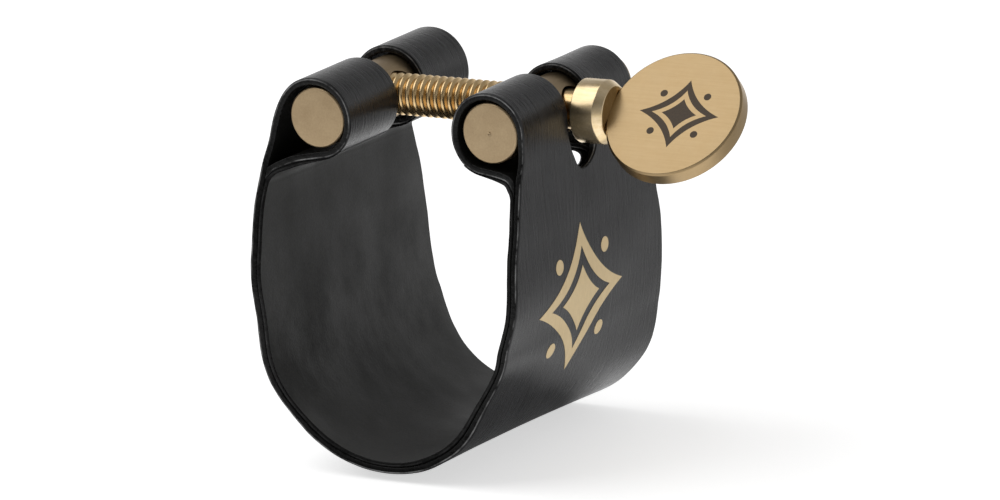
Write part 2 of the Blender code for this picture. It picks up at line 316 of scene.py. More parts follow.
def spread(tree, value, low, high, from_low=0.3, from_high=0.7):
    """A value stretched from one range to another, held at both ends."""
    stretch = add_node(tree, "ShaderNodeMapRange", {
        "From Min": from_low, "From Max": from_high, "To Min": low, "To Max": high})
    tree.links.new(value, stretch.inputs["Value"])
    return stretch.outputs["Result"]


def combine(tree, operation, first, second):
    joined = add_node(tree, "ShaderNodeMath", operation=operation)
    for index, value in enumerate((first, second)):
        if isinstance(value, (int, float)):
            joined.inputs[index].default_value = value
        else:
            tree.links.new(value, joined.inputs[index])
    return joined.outputs[0]


def weighted(tree, first, first_share, second, second_share):
    """The sum of two values, each times its share."""
    return combine(tree, "ADD", combine(tree, "MULTIPLY", first, first_share),
                   combine(tree, "MULTIPLY", second, second_share))


def feed(tree, socket, value):
    tree.links.new(value, shader_of(tree).inputs[socket])


def paint(tree, factor, dark, light):
    """Colours the shader between two colours, by a factor from 0 to 1."""
    ramp = add_node(tree, "ShaderNodeMix", data_type="RGBA")
    ramp.inputs["A"].default_value = (*dark, 1)
    ramp.inputs["B"].default_value = (*light, 1)
    tree.links.new(factor, ramp.inputs["Factor"])
    feed(tree, "Base Color", ramp.outputs["Result"])


def emboss(tree, *layers):
    """Bumps, one on top of another: each is a height from 0 to 1 and its size in mm."""
    normal = None
    for height, size in layers:
        bump = add_node(tree, "ShaderNodeBump", {"Strength": 1.0, "Distance": size * MM})
        tree.links.new(height, bump.inputs["Height"])
        if normal is not None:
            tree.links.new(normal, bump.inputs["Normal"])
        normal = bump.outputs["Normal"]
    feed(tree, "Normal", normal)


# ---------------------------------------------------------------- materials

def leather_material():
    """Black satin leather cloth, finely brushed along the strap."""
    material, tree = new_material("black_satin_leather")
    lines = strap_noise(tree, (3.0, 0.13, 1.0), 4.0, 0.62)
    fine = strap_noise(tree, (8.5, 0.5, 1.0), 2.0, 0.5)
    pores = strap_noise(tree, (6.0, 5.0, 4.0), 3.0, 0.6)
    cloud = strap_noise(tree, (0.25, 0.16, 0.3), 3.0, 0.5)
    brushed = weighted(tree, lines, 0.6, fine, 0.4)
    tone = weighted(tree, brushed, 0.85, cloud, 0.35)
    paint(tree, spread(tree, tone, 0, 1, 0.44, 0.76),
          (0.007, 0.007, 0.0075), (0.024, 0.024, 0.025))
    feed(tree, "Roughness", spread(tree, brushed, 0.22, 0.36))
    emboss(tree, (brushed, 0.055), (pores, 0.02))
    set_shader(tree, Specular_IOR_Level=0.275)
    return material


def edge_material(name, pale):
    """Black paint on the cut edges, with a thin pale line in patches where the outer skin ends:
    in part the skin's own layer, in part a painted highlight along the outer corner.
    """
    material, tree = new_material(name)
    lumps = strap_noise(tree, (1.6, 1.6, 1.6), 3.0, 0.55)
    threads = strap_noise(tree, (1.0, 0.5, 9.0), 2.0, 0.5)
    pale_line_patches = strap_noise(tree, (0.30, 0.42, 0.0), 5.0, 0.62)
    # A thin pale line at the outer skin's depth, in part a painted highlight along the outer
    # corner, broken into patches.
    off_skin = combine(tree, "SUBTRACT", part_of(tree, strap_place(tree), "Z"), SKIN)
    off_line = combine(tree, "ABSOLUTE", off_skin, 0)
    line = combine(tree, "MULTIPLY", spread(tree, off_line, 1.0, 0.0, 0.03, SKIN_LINE),
                   spread(tree, pale_line_patches, 0.0, 1.0, 0.38, 0.60))
    tone = combine(tree, "MAXIMUM", spread(tree, lumps, 0.0010 / pale, 0.0040 / pale), line)
    paint(tree, tone, (0.0010, 0.0010, 0.0009), (pale, pale, pale))
    feed(tree, "Roughness", spread(tree, lumps, 0.20, 0.36))
    emboss(tree, (lumps, 0.12), (threads, 0.02))
    set_shader(tree, Specular_IOR_Level=0.14)
    return material


def back_material():
    """The strap's own inner face, seen only inside the loops."""
    material, tree = new_material("black_leather_back")
    fibres = strap_noise(tree, (6.0, 4.0, 1.0), 4.0, 0.6)
    paint(tree, spread(tree, fibres, 0, 1), (0.002, 0.002, 0.002), (0.005, 0.005, 0.004))
    feed(tree, "Roughness", spread(tree, fibres, 0.6, 0.8))
    emboss(tree, (fibres, 0.03))
    set_shader(tree, Specular_IOR_Level=0.12)
    return material


def lining_material():
    """Dull dark grey lining, with painted shade in mottled blotches low on its walls, and rubbed
    paler along the bottom.
    """
    material, tree = new_material("grey_lining")
    nap = strap_noise(tree, (5.0, 3.5, 2.0), 5.0, 0.65)
    streaks = strap_noise(tree, (2.6, 0.12, 1.0), 3.0, 0.6)
    blotches = strap_noise(tree, (0.17, 0.12, 0.5), 6.0, 0.58)
    along = part_of(tree, strap_place(tree), "Y")
    # Painted shade low inside the cradle: the walls' lower part is darkened in mottled blotches.
    low = combine(tree, "MINIMUM", spread(tree, along, 0.0, 1.0, 5.0, 16.0),
                  spread(tree, along, 1.0, 0.0, 15.0, 30.0))
    low_shade_blotches = combine(tree, "MULTIPLY", spread(tree, blotches, 0.2, 1, 0.4, 0.6), low)
    rubbed = combine(tree, "MULTIPLY", spread(tree, blotches, 0.35, 1, 0.4, 0.6),
                     spread(tree, along, 1.0, 0.0, 3.0, 13.0))
    grain = weighted(tree, nap, 0.8, streaks, 0.2)
    tone = combine(tree, "SUBTRACT", spread(tree, grain, 0.44, 0.66, 0.35, 0.65),
                   combine(tree, "MULTIPLY", low_shade_blotches, 0.33))
    tone = combine(tree, "ADD", tone, combine(tree, "MULTIPLY", rubbed, 0.36))
    paint(tree, tone, (0.008, 0.008, 0.007), (0.060, 0.060, 0.059))
    feed(tree, "Roughness", spread(tree, blotches, 0.40, 0.66))
    emboss(tree, (nap, 0.025), (low_shade_blotches, 0.05))
    set_shader(tree, Specular_IOR_Level=0.35)
    return material


def brass_material(name, dark, light, roughness, line_scale, line_depth, turn=(0, 0, 0)):
    """Brass with fine machining lines, stretched along the directions of a scale."""
    material, tree = new_material(name)
    lines = object_noise(tree, line_scale, 4.0, 0.6, turn)
    tarnish = object_noise(tree, (0.45, 0.45, 0.45), 4.0, 0.55)
    specks = object_noise(tree, (3.2, 3.2, 3.2), 5.0, 0.7)
    tone = weighted(tree, lines, 0.4, tarnish, 0.6)
    paint(tree, spread(tree, tone, 0, 1, 0.35, 0.65), dark, light)
    feed(tree, "Roughness", spread(tree, weighted(tree, tarnish, 0.6, specks, 0.4),
                                   roughness * 0.82, roughness * 1.2))
    emboss(tree, (lines, line_depth), (specks, line_depth * 0.5))
    set_shader(tree, Metallic=1.0)
    return material


def barrel_material():
    return brass_material("barrel_brass", (0.315, 0.230, 0.135), (0.415, 0.312, 0.190), 0.38,
                          (5.0, 0.6, 5.0), 0.004)


def screw_material():
    return brass_material("screw_brass", (0.62, 0.42, 0.19), (0.80, 0.60, 0.34), 0.24,
                          (0.5, 6.0, 6.0), 0.003)


def collar_material():
    return brass_material("polished_brass", (0.70, 0.53, 0.29), (0.83, 0.67, 0.44), 0.24,
                          (0.35, 3.0, 3.0), 0.002)


def disc_material():
    lean = (math.radians(DISC_LEAN), 0, 0)
    return brass_material("brushed_pale_brass", (0.350, 0.247, 0.128), (0.405, 0.293, 0.160),
                          0.34, (0.22, 7.0, 7.0), 0.006, lean)


def inlay_material():
    """Dark engraving on the disc."""
    material, tree = new_material("dark_engraving")
    grain = object_noise(tree, (5.0, 5.0, 5.0), 4.0, 0.6)
    paint(tree, spread(tree, grain, 0, 1), (0.045, 0.030, 0.017), (0.085, 0.058, 0.035))
    feed(tree, "Roughness", spread(tree, grain, 0.45, 0.65))
    emboss(tree, (grain, 0.01))
    set_shader(tree, Metallic=0.35)
    return material


def foil_material():
    """Gold foil pressed on to the leather."""
    material, tree = new_material("gold_foil")
    grain = strap_noise(tree, (9.0, 0.5, 1.0), 4.0, 0.6)
    wear = strap_noise(tree, (1.4, 1.1, 1.0), 5.0, 0.65)
    tone = weighted(tree, grain, 0.5, wear, 0.5)
    paint(tree, spread(tree, tone, 0, 1), (0.56, 0.42, 0.22), (0.70, 0.55, 0.32))
    feed(tree, "Roughness", spread(tree, wear, 0.40, 0.58))
    emboss(tree, (grain, 0.012))
    set_shader(tree, Metallic=0.25)
    return material


def floor_material():
    material, tree = new_material("pale_floor")
    cloud = object_noise(tree, (0.02, 0.02, 0.02), 2.0, 0.5)
    paint(tree, cloud, (0.90, 0.90, 0.90), (0.94, 0.94, 0.94))
    set_shader(tree, Roughness=0.9, Specular_IOR_Level=0.1, Emission_Color=(1, 1, 1, 1),
               Emission_Strength=FLOOR_GLOW)
    return material


def mirrored_floor_material():
    """The floor as the object reflects it, glowing with painted shade and painted light."""
    material, tree = new_material("mirrored_floor")
    reach = add_node(tree, "ShaderNodeVectorMath", operation="DISTANCE")
    reach.inputs[1].default_value = SHADE_MIDDLE
    place = object_place(tree, (1, 1, 1))
    tree.links.new(place, reach.inputs[0])
    distance = reach.outputs["Value"]
    # The glow paints the object's shadow, a brighter ring round it, and a dimmer patch behind on
    # the right.
    glow = combine(tree, "MINIMUM", spread(tree, distance, SHADE_DEPTH, SHINE, *SHADE_REACH),
                   spread(tree, distance, SHINE, 1.0, *SHINE_REACH))
    side = combine(tree, "MAXIMUM",
                   spread(tree, part_of(tree, place, "X"), 1.0, PAINTED_DIM_SIDE, *PAINTED_DIM_SIDE_REACH),
                   spread(tree, part_of(tree, place, "Y"), 1.0, 0.0, *PAINTED_DIM_SIDE_START))
    feed(tree, "Emission Strength", combine(tree, "MULTIPLY", glow, side))
    set_shader(tree, Base_Color=(0, 0, 0, 1), Specular_IOR_Level=0.0,
               Emission_Color=(1, 1, 1, 1))
    material.cycles.emission_sampling = "NONE"
    return material


# ---------------------------------------------------------------- lines in the XZ plane

def polar(centre, radius, degrees):
    angle = math.radians(degrees)
    return Vector((centre[0] + radius * math.cos(angle), centre[1] + radius * math.sin(angle)))


def arc(centre, radius, start, end, step=ROW_STEP):
    count = max(3, math.ceil(abs(math.radians(end - start)) * radius / step))
    return [polar(centre, radius, start + (end - start) * i / count) for i in range(count + 1)]


def bezier(start, start_handle, end_handle, end):
    knots = [Vector(point).to_3d() for point in (start, start_handle, end_handle, end)]
    count = math.ceil((knots[3] - knots[0]).length / ROW_STEP) + 1
    return [point.to_2d() for point in interpolate_bezier(*knots, count)]


def straight(start, end):
    count = max(1, math.ceil((end - start).length / ROW_STEP))
    return [start.lerp(end, i / count) for i in range(count + 1)]


def join_runs(*runs):
    """One list of points from several runs that share their end points."""
    points = []
    for run in runs:
        if points and (points[-1] - run[0]).length < 0.001 * MM:
            run = run[1:]
        points.extend(run)
    return points


def offset(points, distance):
    """The line parallel to an open line, moved to its right by a distance."""
    moved = []
    for i, point in enumerate(points):
        before = point - points[max(i - 1, 0)]
        after = points[min(i + 1, len(points) - 1)] - point
        normals = [Vector((d.y, -d.x)).normalized() for d in (before, after) if d.length > 0]
        mean = sum(normals, Vector((0, 0))).normalized()
        moved.append(point + mean * distance / mean.dot(normals[0]))
    return moved


def at_height(line, height):
    """Where a line that climbs crosses a height."""
    for low, high in zip(line, line[1:]):
        if low.y <= height < high.y:
            return low.lerp(high, (height - low.y) / (high.y - low.y))
    return line[-1]


def loop_centre(side):
    low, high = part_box("threaded_barrel" if side < 0 else "plain_barrel")
    middle = (low + high) / 2
    return Vector((middle.x + LOOP_OFFSET, middle.z))


def wall_line(side):
    """The strap's outer face from under the mouthpiece up to its loop."""
    start, widest = ((LEFT_WALL_START, LEFT_WIDEST) if side < 0
                     else (RIGHT_WALL_START, RIGHT_WIDEST))
    seat = arc((0, 0), SEAT_OUTER_RADIUS, -90, -90 + side * start)
    foot = seat[-1]
    lean = math.radians(start)
    reach = WALL_HANDLE * (widest[1] - foot.y)
    foot_handle = foot + reach * Vector((side * math.cos(lean), math.sin(lean)))
    lower = bezier(foot, foot_handle, (widest[0], widest[1] - reach), widest)
    centre = loop_centre(side)
    if side < 0:
        end = polar(centre, LOOP_RADIUS, 90)
        upper = bezier(widest, (widest[0], widest[1] + LEFT_RISE_HANDLE),
                       end + Vector((-LEFT_TOP_HANDLE, 0)), end)
    else:
        end = polar(centre, LOOP_RADIUS, 0)
        upper = bezier(widest, (widest[0], widest[1] + RIGHT_HANDLE),
                       end - Vector((0, RIGHT_HANDLE)), end)
    return join_runs(seat, lower, upper)


def loop_line(side):
    """The strap's outer face round the barrel, to where the flap begins."""
    start = 90 if side < 0 else 0
    end = -90 + FLAP_SLOPE if side < 0 else 270 - FLAP_SLOPE
    return arc(loop_centre(side), LOOP_RADIUS, start, end)


def flap_lines(side):
    """The flap's underside: its straight stretch, and the fillet down to the wall."""
    start = loop_line(side)[-1]
    slope = math.radians(FLAP_SLOPE)
    along = Vector((side * math.cos(slope), -math.sin(slope)))
    down = Vector((along.y, -along.x)) * side
    inner = offset(wall_line(side), side * -PLY)
    reach = 0.0
    while True:
        centre = start + along * reach + down * FLAP_FILLET
        if side * (at_height(inner, centre.y).x - centre.x) <= FLAP_FILLET + FLAP_GAP:
            break
        reach += SEARCH_STEP
    fillet = arc(centre, FLAP_FILLET, 90 - side * FLAP_SLOPE, 0 if side > 0 else 180,
                 FILLET_STEP)
    return straight(start, fillet[0]), fillet


def strap_lines(side):
    """The strap ply's outer and inner face, row for row, from under the mouthpiece.

    The ply ends in a wedge, where its flap comes back to lie on its wall.
    """
    wall = wall_line(side)
    body = join_runs(wall, loop_line(side))
    flap, fillet = flap_lines(side)
    outer = join_runs(body, flap, fillet)
    inner = offset(outer, side * -PLY)
    stop = offset(wall, side * -(PLY + FLAP_GAP))
    last = len(body)
    while side * (at_height(stop, inner[last].y).x - inner[last].x) > 0:
        last += 1
    top, foot = inner[last - 1].y, outer[-1].y
    for i in range(last, len(outer)):
        share = (i - last + 1) / (len(outer) - last)
        inner[i] = at_height(stop, top + (foot - top) * share)
    return outer, inner


def lining_lines(side):
    """The lining's glued and open face, from under the mouthpiece to its end on the loop."""
    flap, fillet = flap_lines(side)
    wall = [point for point in offset(wall_line(side), side * -PLY)
            if point.y < fillet[-1].y - FLAP_MARGIN or point.y < 0]
    start = -90 + FLAP_SLOPE if side < 0 else 270 - FLAP_SLOPE
    end = LEFT_LINING_END if side < 0 else RIGHT_LINING_END
    tail = arc(loop_centre(side), LOOP_RADIUS, start, end)
    face = join_runs(wall, fillet[::-1], flap[::-1], tail)
    return offset(face, side * -GLUE_LINE), offset(face, side * -(GLUE_LINE + LINING))


# ---------------------------------------------------------------- leather strips

def smooth_step(value):
    value = min(max(value, 0.0), 1.0)
    return value * value * (3 - 2 * value)


def off_loop(point, centre):
    """0 on a loop, rising to 1 a little way off it: how free the leather is of the barrel."""
    return smooth_step(((point - centre).length - LOOP_RADIUS) / LOOP_REACH)


def half_width(point, centre):
    """Half the strap's width at a point of its face line: wide below, narrow on the loop."""
    share = smooth_step((point.y - TAPER_FOOT) / (TAPER_TOP - TAPER_FOOT))
    narrowed = (BAND_HALF_WIDTH - LOOP_HALF_WIDTH) * (1 - share)
    return LOOP_HALF_WIDTH + narrowed * off_loop(point, centre)


def set_at(table, height):
    """The set in metres at a height, easing from one listed height to the next."""
    height /= MM
    for (top, first), (foot, second) in zip(table, table[1:]):
        if height >= foot:
            return (first + (second - first) * smooth_step((top - height) / (top - foot))) * MM
    return table[-1][1] * MM


def rise(value, zone):
    """0 up to the zone's start, easing to 1 at its length past that."""
    start, length = zone
    return smooth_step((value / MM - start) / length)


def nearness(value, zone):
    """1 at the zone's middle, easing to 0 at its reach either side."""
    middle, reach = zone
    return 1 - smooth_step(abs(value / MM - middle) / reach)


def sway(point, centre):
    """How far a point of the leather stands off the exact shape."""
    left = point.x < 0
    rear = 0.5 + 0.5 * point.y / BAND_HALF_WIDTH
    front_set, rear_set = ((LEFT_FRONT_SET, LEFT_REAR_SET) if left
                           else (RIGHT_FRONT_SET, RIGHT_REAR_SET))
    shift = set_at(front_set, point.z) * (1 - rear) + set_at(rear_set, point.z) * rear
    wave = WAVE * noise.noise(point / WAVE_LENGTH)
    sag = (FRONT_SAG * (1 - rear) + REAR_SAG * rear ** 2) * rise(-point.z, SAG_ZONE)
    flat = Vector((point.x, point.z))
    free = off_loop(flat, centre)
    slack = LEFT_LOOP_SLACK if left else RIGHT_LOOP_SLACK
    facing = max((flat - centre).normalized().dot(slack.xz.normalized()), 0.0)
    moved = (Vector((shift * rise(abs(point.x), OFF_MIDDLE_ZONE) + wave, 0, -sag)) * free
             + slack * facing ** 2 * (1 - free))
    by_slot = nearness(point.y, NEAR_SLOT_SIDE)
    if left:
        by_flap = nearness(point.z, NEAR_FLAP_HEIGHT) * rise(-point.x, FLAP_WALL_ZONE)
        moved.y += LEFT_SLOT_LEAN * by_slot * (1 - free)
        moved.z -= FLAP_DIP * by_flap * free
    else:
        moved += RIGHT_REAR_DROP * rise(point.y, REAR_DROP_ZONE) * (1 - free)
        moved.y -= RIGHT_REAR_SKEW * rise(point.y, REAR_SKEW_ZONE) * (1 - free)
        moved.y += RIGHT_SLOT_LEAN * by_slot * rise(point.z, SLOT_HEIGHT_ZONE) * free
    return moved


class Strip:
    """A strip of leather between two face lines, and places on it."""

    def __init__(self, side, outer, inner):
        self.centre = loop_centre(side)
        self.outer = outer
        self.inner = inner
        self.along = [0.0]
        for first, second in zip(outer, outer[1:]):
            self.along.append(self.along[-1] + (second - first).length)

    def find(self, along):
        """The row before a length along the strip, and the share of the step past it."""
        low = min(max(bisect_right(self.along, along) - 1, 0), len(self.along) - 2)
        step = self.along[low + 1] - self.along[low]
        return low, (along - self.along[low]) / step if step > 0 else 0.0

    def faces(self, along):
        i, share = self.find(along)
        return (self.outer[i].lerp(self.outer[i + 1], share),
                self.inner[i].lerp(self.inner[i + 1], share))

    def place(self, along, across, deep):
        """A point: along the strip, across it, and deep from its outer face."""
        outer, inner = self.faces(along)
        thickness = (inner - outer).length
        flat = outer + (inner - outer) * (deep / thickness if thickness > 0 else 0)
        point = Vector((flat.x, across, flat.y))
        return point + sway(point, self.centre)

    def along_at(self, height):
        """How far along the strip its wall reaches a height."""
        return next(along for along, low, high in zip(self.along, self.outer, self.outer[1:])
                    if low.y <= height < high.y)

    def half_width(self, along):
        return half_width(self.faces(along)[0], self.centre)

    def thickness(self, along):
        outer, inner = self.faces(along)
        return (inner - outer).length


def strip_rows(strip, slot_start):
    """Rows across half a strip: (slot side, rim side, way to the slot, slotted or not).

    Each side is (along, across). The slot's round end fans the rows out.
    """
    centre = slot_start + SLOT_RADIUS
    field_radius = SLOT_RADIUS + STRAP_EDGE
    rows = []
    for along in strip.along:
        if along < centre - field_radius - ROW_STEP / 2:
            rows.append(((along, 0.0), along, None, False))
    for i in range(SLOT_FAN_ROWS):
        angle = math.pi / 2 * i / SLOT_FAN_ROWS
        near = (centre - field_radius * math.cos(angle), field_radius * math.sin(angle))
        far = centre - field_radius * (1 - i / SLOT_FAN_ROWS)
        rows.append((near, far, (math.cos(angle), -math.sin(angle)), True))
    for along in strip.along:
        if along > centre - 1e-9 and along <= strip.along[-1]:
            rows.append(((along, field_radius), along, (0.0, -1.0), True))
    return rows


def row_stations(strip, row, edge, side):
    """The points round one row's section, each with (along, across, drop) and its part.

    The drop is a share of the thickness, or an edge's name and a share of its radius.
    """
    (near_along, near_across), far_along, toward, slotted = row
    far_across = strip.half_width(far_along) - edge
    width = far_across - near_across
    shares = sorted({i / FIELD_COLUMNS for i in range(FIELD_COLUMNS + 1)}
                    | {EDGE_SUPPORT / width, 1 - EDGE_SUPPORT / width})
    stations = []

    def add(along, across, drop, part):
        stations.append((along, across * side, drop, part))

    def add_field(share, drop, part):
        add(near_along + (far_along - near_along) * share,
            near_across + width * share, drop, part)

    def add_edge(along, across, toward, sense, angles, part):
        for angle in angles:
            turn = math.radians(angle)
            out = edge * math.sin(turn)
            add(along + toward[0] * out, across + toward[1] * out,
                (sense, 1 - math.cos(turn)), part)

    for share in shares:
        add_field(share, 0.0, "outer")
    add_edge(far_along, far_across, (0, 1), "edge", EDGE_ANGLES[:-1], "corner")
    add_edge(far_along, far_across, (0, 1), "edge", EDGE_ANGLES[-1:], "rim")
    add_edge(far_along, far_across, (0, 1), "back", EDGE_ANGLES[::-1], "rim")
    for share in reversed(shares):
        add_field(share, 1.0, "inner")
    if slotted:
        add_edge(near_along, near_across, toward, "back", EDGE_ANGLES, "slot")
        add_edge(near_along, near_across, toward, "edge", EDGE_ANGLES[::-1], "slot")
    return stations


def build_strip(name, strip, slot_start, edge, materials, end_taper=0.0):
    """One half of the strap or lining, as a closed mesh with rounded edges.

    Its materials are for its outer face, its cut edges and its inner face.
    """
    shape = bmesh.new()
    layer = shape.verts.layers.float_vector.new("strip")
    rows = strip_rows(strip, slot_start)
    numbers = {"outer": 0, "corner": 0, "rim": 1, "slot": 1, "inner": 2}
    last_along = strip.along[-1]

    def vertex(station):
        along, across, drop, part = station
        along = min(max(along, 0.0), last_along)
        thickness = strip.thickness(along)
        kept = 1.0
        if along > last_along - end_taper:
            kept = LINING_END_KEPT
            kept += (1 - kept) * smooth_step((last_along - along) / end_taper)
        thick = thickness * kept
        radius = min(edge, 0.45 * thick)
        if isinstance(drop, tuple):
            deep = radius * drop[1] if drop[0] == "edge" else thick - radius * drop[1]
        else:
            deep = drop * thick
        point = strip.place(along, across, deep)
        if part in ("corner", "rim", "slot"):
            lump = noise.noise_vector(point / RIPPLE_LENGTH)
            point += Vector((lump.x * 0.5, lump.y, lump.z * 0.3)) * RIPPLE
        made = shape.verts.new(point)
        made[layer] = Vector((across, along, deep)) / MM
        return made

    for side in (-1, 1):
        previous = None
        for row in rows:
            stations = row_stations(strip, row, edge, side)
            ring = [vertex(station) for station in stations]
            parts = [station[3] for station in stations]
            if previous is not None:
                old_ring, old_parts = previous
                common = min(len(ring), len(old_ring))
                closed = len(ring) == len(old_ring) and "slot" in parts
                for j in range(common if closed else common - 1):
                    k = (j + 1) % len(ring)
                    corners = (old_ring[j], old_ring[k % len(old_ring)], ring[k], ring[j])
                    face = shape.faces.new(corners)
                    pair = {parts[j], parts[k]}
                    kind = ("rim" if "rim" in pair else "slot" if "slot" in pair
                            else parts[j])
                    face.material_index = numbers[kind]
            else:
                cap(shape, ring, parts)
            previous = ring, parts
        cap(shape, previous[0], previous[1])
    bmesh.ops.remove_doubles(shape, verts=shape.verts, dist=0.0002 * MM)
    bmesh.ops.recalc_face_normals(shape, faces=shape.faces)
    return finish_mesh(name, shape, materials, sharp=50)


def cap(shape, ring, parts):
    """Closes a section's end with a strip of faces between its outer and inner points."""
    outer = [i for i, part in enumerate(parts) if part == "outer"]
    inner = [i for i, part in enumerate(parts) if part == "inner"][::-1]
    for a, b, c, d in zip(outer, outer[1:], inner[1:], inner):
        shape.faces.new((ring[a], ring[b], ring[c], ring[d])).material_index = 1
    rim = list(range(outer[-1], inner[-1] + 1))
    shape.faces.new([ring[i] for i in rim]).material_index = 1
    if "slot" in parts:
        slot = list(range(inner[0], len(ring))) + [0]
        shape.faces.new([ring[i] for i in slot]).material_index = 1


def finish_mesh(name, shape, materials, sharp=40):
    mesh = bpy.data.meshes.new(name)
    shape.to_mesh(mesh)
    shape.free()
    mesh.shade_smooth()
    mesh.set_sharp_from_angle(angle=math.radians(sharp))
    for material in materials:
        mesh.materials.append(material)
    item = bpy.data.objects.new(name, mesh)
    bpy.context.scene.collection.objects.link(item)
    return item


def bend(item):
    """Bakes half a strap's placement into its mesh."""
    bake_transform(item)


def make_leather(stem, lines, edge, materials, end_taper=0.0):
    """The two halves of the strap or of its lining, and the strips that they follow."""
    strips = {}
    for side, half in ((-1, "left"), (1, "right")):
        strip = Strip(side, *lines(side))
        item = build_strip(f"{stem}_{half}_half", strip, strip.along_at(SLOT_FOOT), edge,
                           materials, end_taper)
        bend(item)
        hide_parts(f"{stem}_{half}")
        if side < 0:
            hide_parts(f"{stem}_cradle")
        strips[side] = strip
    return strips


# ---------------------------------------------------------------- turned metal

def rounded_profile(points, radius, steps=4):
    """A profile with its inner corners rounded, from (along, radius) points."""
    made = [Vector(points[0])]
    for before, corner, after in zip(points, points[1:], points[2:]):
        before, corner, after = Vector(before), Vector(corner), Vector(after)
        if corner.y < 1e-9:
            made.append(corner)
            continue
        reach = min(radius, 0.45 * (corner - before).length, 0.45 * (after - corner).length)
        start = corner + (before - corner).normalized() * reach
        end = corner + (after - corner).normalized() * reach
        for i in range(steps + 1):
            t = i / steps
            made.append(start * (1 - t) ** 2 + corner * 2 * t * (1 - t) + end * t ** 2)
    made.append(Vector(points[-1]))
    return made


def same_ends(half, points):
    """A profile from (in from the end, radius) points that hold for both of its ends."""
    return ([(inward - half, radius) for inward, radius in points]
            + [(half - inward, radius) for inward, radius in reversed(points)])


def bridge(shape, first, second):
    """Faces between two rings of corners, of which one may be a single corner."""
    count = max(len(first), len(second))
    for i in range(count):
        j = (i + 1) % count
        corners = [first[i % len(first)], first[j % len(first)],
                   second[j % len(second)], second[i % len(second)]]
        shape.faces.new(list(dict.fromkeys(corners)))


def turned(name, profile, axis, centre, material, sides=ROUND_SIDES):
    """A round closed piece from (along, radius) points, round an axis through a centre."""
    shape = bmesh.new()
    turn = Vector((0, 0, 1)).rotation_difference(Vector(axis)).to_matrix()
    rings = []
    for along, radius in profile:
        if radius < 1e-9:
            rings.append([shape.verts.new(turn @ Vector((0, 0, along)))])
            continue
        ring = []
        for i in range(sides):
            angle = 2 * math.pi * i / sides
            ring.append(shape.verts.new(
                turn @ Vector((radius * math.cos(angle), radius * math.sin(angle), along))))
        rings.append(ring)
    for first, second in zip(rings, rings[1:]):
        bridge(shape, first, second)
    bmesh.ops.translate(shape, verts=shape.verts, vec=Vector(centre))
    bmesh.ops.recalc_face_normals(shape, faces=shape.faces)
    return finish_mesh(name, shape, [material], TURNED_SHARP)


def cut(item, cutter):
    """Takes a cutter's shape out of a piece and removes the cutter."""
    change = item.modifiers.new("Cut", "BOOLEAN")
    change.operation = "DIFFERENCE"
    change.solver = "EXACT"
    change.object = cutter
    bpy.context.view_layer.update()
    graph = bpy.context.evaluated_depsgraph_get()
    mesh = bpy.data.meshes.new_from_object(item.evaluated_get(graph))
    item.modifiers.clear()
    item.data = mesh
    bpy.data.objects.remove(cutter)
    mesh.shade_smooth()
    mesh.set_sharp_from_angle(angle=math.radians(TURNED_SHARP))


def soften(item, width):
    """Rounds the edges that a cut left, and keeps the flat faces flat in the light."""
    edge = item.modifiers.new("Edge", "BEVEL")
    edge.width = width
    edge.segments = 2
    edge.limit_method = "ANGLE"
    edge.angle_limit = math.radians(TURNED_SHARP)
    even = item.modifiers.new("Even", "WEIGHTED_NORMAL")
    even.keep_sharp = True


def make_barrel(node, body, dimple, material):
    low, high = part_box(node)
    centre = (low + high) / 2
    half = (high.y - low.y) / 2
    radius = (high.x - low.x) / 2
    profile = same_ends(half, [
        (dimple, 0), (dimple, DIMPLE_FLAT), (0, DIMPLE_RADIUS), (0, radius - BARREL_CHAMFER),
        (BARREL_CHAMFER, radius)])
    barrel = turned(node + "_body", rounded_profile(profile, TURNED_EDGE), (0, 1, 0), centre,
                    material)
    reach, mouth = radius + COUNTERSINK, BORE_RADIUS + 2 * COUNTERSINK
    inside = radius - BORE_LEAD
    bore = turned("bore", [(-reach, 0), (-reach, mouth), (-inside, BORE_RADIUS),
                           (inside, BORE_RADIUS), (reach, mouth), (reach, 0)],
                  (1, 0, 0), centre, material, BORE_SIDES)
    cut(barrel, bore)
    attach(barrel, body)
    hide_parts(node)


def thread_radius(phase, radius):
    """The thread's radius at a share of its pitch: narrow root, flanks, rounded crest."""
    height = 0.5 - 0.5 * math.cos(2 * math.pi * phase)
    return radius - THREAD_DEPTH * (1 - height ** 0.5)


